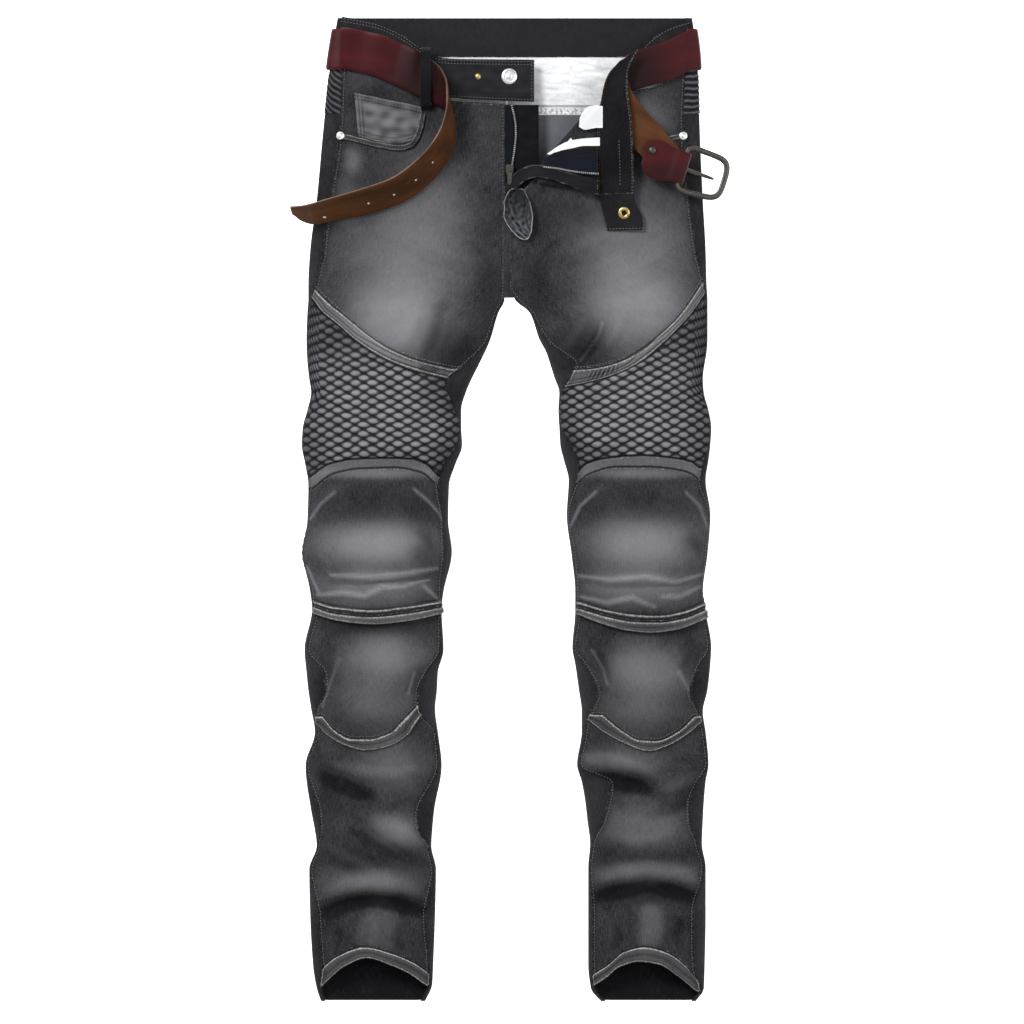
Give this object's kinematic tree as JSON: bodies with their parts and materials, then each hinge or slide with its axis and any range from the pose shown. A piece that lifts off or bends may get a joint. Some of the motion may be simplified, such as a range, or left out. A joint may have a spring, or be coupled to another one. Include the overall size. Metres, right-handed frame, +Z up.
{
  "type": "motorcycle trousers with a belt",
  "caption": "Slim biker jeans laid flat, front up, waist open, with quilted thighs, capped knees and shins, and a leather belt with its buckle.",
  "frame": {"origin": "middle of the trousers' box, on the surface that they lie on", "axes": "+Y towards the waist, +Z up out of the front, +X towards the wearer's left leg"},
  "size_m": [0.4674, 1.0536, 0.0634],
  "materials": {
    "denim": "charcoal stretch denim, washed",
    "denim_faded": "charcoal denim faded to grey along seams and knees",
    "denim_inside": "pale grey reverse of the denim",
    "yoke_lining": "white crinkled yoke lining",
    "zip_tape": "navy zip tape",
    "pocket_cloth": "white pocket cotton",
    "belt_leather": "oxblood leather, tan on its inner side",
    "gunmetal": "dull gunmetal",
    "white_metal": "bright white metal",
    "brass": "antique brass"
  },
  "bodies": {
    "root": {"quilted_panel_right": "denim", "shin_panel_right": "denim", "lower_leg_front_right": "denim", "hip_insert_right": "denim", "front_thigh_right": "denim", "thigh_band_right": "denim_faded", "knee_top_band_right": "denim_faded", "knee_panel_right": "denim_faded", "knee_hem_band_right": "denim_faded", "shin_rim_right": "denim_faded", "hem_band_right": "denim_faded", "pocket_facing_right": "denim_faded", "back_leg_right": "denim_inside", "yoke_right": "yoke_lining", "quilted_panel_left": "denim", "shin_panel_left": "denim", "lower_leg_front_left": "denim", "hip_insert_left": "denim", "front_thigh_left": "denim", "thigh_band_left": "denim_faded", "knee_top_band_left": "denim_faded", "knee_panel_left": "denim_faded", "knee_hem_band_left": "denim_faded", "shin_rim_left": "denim_faded", "hem_band_left": "denim_faded", "pocket_facing_left": "denim_faded", "back_leg_left": "denim_inside", "yoke_left": "yoke_lining", "waistband_back": "denim", "waistband_right_front": "denim", "waistband_left_front": "denim", "waistband_left_flap": "denim", "waistband_tab": "denim", "fly_shield": "denim", "belt_loop_centre": "denim", "belt_loop_back_right": "denim", "belt_loop_back_left": "denim", "belt_loop_front": "denim", "coin_pocket": "denim_faded", "fly_curl": "denim_faded", "fly_flap": "denim_inside", "fly_facing": "zip_tape", "pocket_bag": "pocket_cloth", "zip_tape_right": "zip_tape", "inner_label": "pocket_cloth", "belt_back": "belt_leather", "belt_free_end": "belt_leather", "belt_buckle_end": "belt_leather", "belt_rivet": "gunmetal", "zip_slider": "gunmetal", "button": "white_metal", "waistband_stud": "brass", "tab_eyelet": "brass", "pocket_rivet_upper_right": "white_metal", "pocket_rivet_lower_right": "white_metal", "pocket_rivet_lower_left": "white_metal"},
    "buckle_frame": {"buckle_frame": "gunmetal"},
    "buckle_prong": {"buckle_prong": "gunmetal"},
    "zip_pull": {"zip_pull": "gunmetal"}
  },
  "joints": [
    {"name": "buckle_hinge", "type": "hinge", "parent": "root", "child": "buckle_frame", "pos_m": [0.18271, 0.36423, 0.03], "axis": [-0.2873, -0.9578, 0], "range_deg": [0, 120]},
    {"name": "prong_hinge", "type": "hinge", "parent": "buckle_frame", "child": "buckle_prong", "pos_m": [0.18271, 0.36423, 0.03], "axis": [-0.2873, -0.9578, 0], "range_deg": [0, 24]},
    {"name": "pull_hinge", "type": "hinge", "parent": "root", "child": "zip_pull", "pos_m": [-0.00149, 0.36223, 0.02675], "axis": [-1, 0, 0], "range_deg": [0, 150]}
  ]
}
